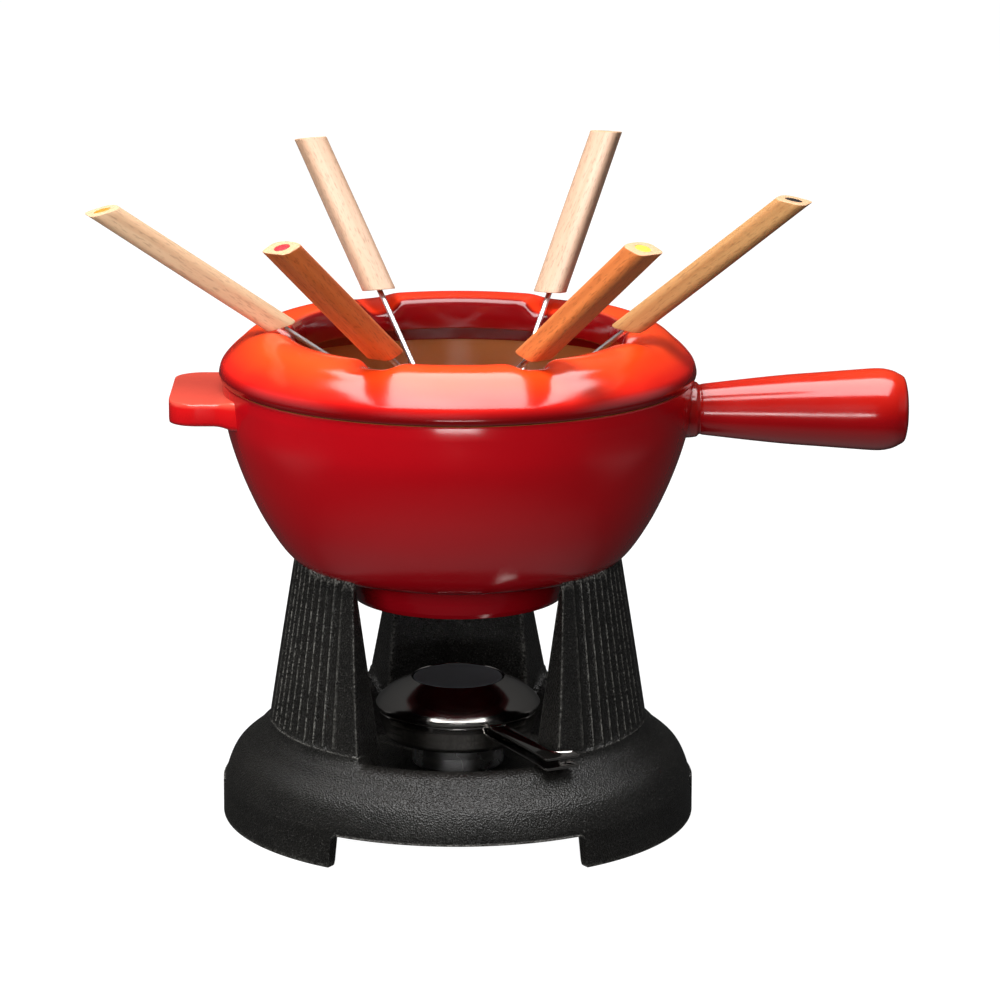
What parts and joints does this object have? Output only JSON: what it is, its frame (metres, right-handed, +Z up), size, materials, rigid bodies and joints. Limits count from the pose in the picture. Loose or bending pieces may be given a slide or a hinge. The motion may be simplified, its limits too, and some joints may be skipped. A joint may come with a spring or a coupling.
{
  "type": "fondue pot set",
  "caption": "Fondue pot on a three-legged stand with an alcohol burner, a lift-off fork ring and wooden-handled forks.",
  "frame": {"origin": "middle of the whole set's outline seen from above, on the surface that the stand rests on", "axes": "+Z up, +X along the pot's long handle, -Y towards the front of the set"},
  "size_m": [0.3832, 0.3088, 0.3059],
  "materials": {
    "cast_iron_black": "matt black enamel with a fine grain",
    "red_enamel": "glossy red enamel on cast iron",
    "orange_enamel": "glossy orange to red enamel on cast iron",
    "dark_steel": "polished stainless steel",
    "polished_steel": "polished stainless steel",
    "gauze": "fine woven wire",
    "wick_fibre": "packed fibre",
    "beech": "oiled beech",
    "dot_red": "gloss",
    "dot_yellow": "gloss",
    "dot_black": "gloss",
    "dot_green": "gloss",
    "dot_blue": "gloss",
    "dot_orange": "gloss"
  },
  "bodies": {
    "stand": {"stand_base": "cast_iron_black", "stand_leg_front_left": "cast_iron_black", "stand_leg_front_right": "cast_iron_black", "stand_leg_rear": "cast_iron_black"},
    "burner": {"burner_foot_cup": "polished_steel", "burner_fuel_bowl": "dark_steel", "burner_bowl_handle": "dark_steel", "burner_wick": "wick_fibre", "burner_gauze": "gauze"},
    "regulator": {"regulator_hood": "dark_steel", "regulator_handle": "dark_steel"},
    "pot": {"pot_bowl": "red_enamel", "pot_handle": "red_enamel", "pot_lug": "red_enamel"},
    "fork_ring": {"fork_ring": "orange_enamel"},
    "fork_front_left": {"fork_front_left_handle": "beech", "fork_front_left_stem": "polished_steel", "fork_front_left_dot": "dot_red"},
    "fork_front_right": {"fork_front_right_handle": "beech", "fork_front_right_stem": "polished_steel", "fork_front_right_dot": "dot_yellow"},
    "fork_right": {"fork_right_handle": "beech", "fork_right_stem": "polished_steel", "fork_right_dot": "dot_black"},
    "fork_back_right": {"fork_back_right_handle": "beech", "fork_back_right_stem": "polished_steel", "fork_back_right_dot": "dot_green"},
    "fork_back_left": {"fork_back_left_handle": "beech", "fork_back_left_stem": "polished_steel", "fork_back_left_dot": "dot_blue"},
    "fork_left": {"fork_left_handle": "beech", "fork_left_stem": "polished_steel", "fork_left_dot": "dot_orange"}
  },
  "joints": [
    {"name": "burner_lift", "type": "slide", "parent": "stand", "child": "burner", "axis": [0, 0, 1], "range_m": [0, 0.03]},
    {"name": "regulator_turn", "type": "hinge", "parent": "burner", "child": "regulator", "pos_m": [-0.02003, 0.0004, 0.055], "axis": [0, 0, 1], "range_deg": [-45, 0]},
    {"name": "pot_lift", "type": "slide", "parent": "stand", "child": "pot", "axis": [0, 0, 1], "range_m": [0, 0.15]},
    {"name": "ring_lift", "type": "slide", "parent": "pot", "child": "fork_ring", "axis": [0, 0, 1], "range_m": [0, 0.12]},
    {"name": "fork_front_left_pull", "type": "slide", "parent": "fork_ring", "child": "fork_front_left", "axis": [-0.4261, -0.6792, 0.5976], "range_m": [0, 0.15]},
    {"name": "fork_front_right_pull", "type": "slide", "parent": "fork_ring", "child": "fork_front_right", "axis": [0.4507, -0.6656, 0.5948], "range_m": [0, 0.15]},
    {"name": "fork_right_pull", "type": "slide", "parent": "fork_ring", "child": "fork_right", "axis": [0.7118, -0.3007, 0.6347], "range_m": [0, 0.15]},
    {"name": "fork_back_right_pull", "type": "slide", "parent": "fork_ring", "child": "fork_back_right", "axis": [0.2839, 0.6993, 0.6561], "range_m": [0, 0.15]},
    {"name": "fork_back_left_pull", "type": "slide", "parent": "fork_ring", "child": "fork_back_left", "axis": [-0.3415, 0.7161, 0.6088], "range_m": [0, 0.15]},
    {"name": "fork_left_pull", "type": "slide", "parent": "fork_ring", "child": "fork_left", "axis": [-0.7745, -0.2667, 0.5736], "range_m": [0, 0.15]}
  ]
}
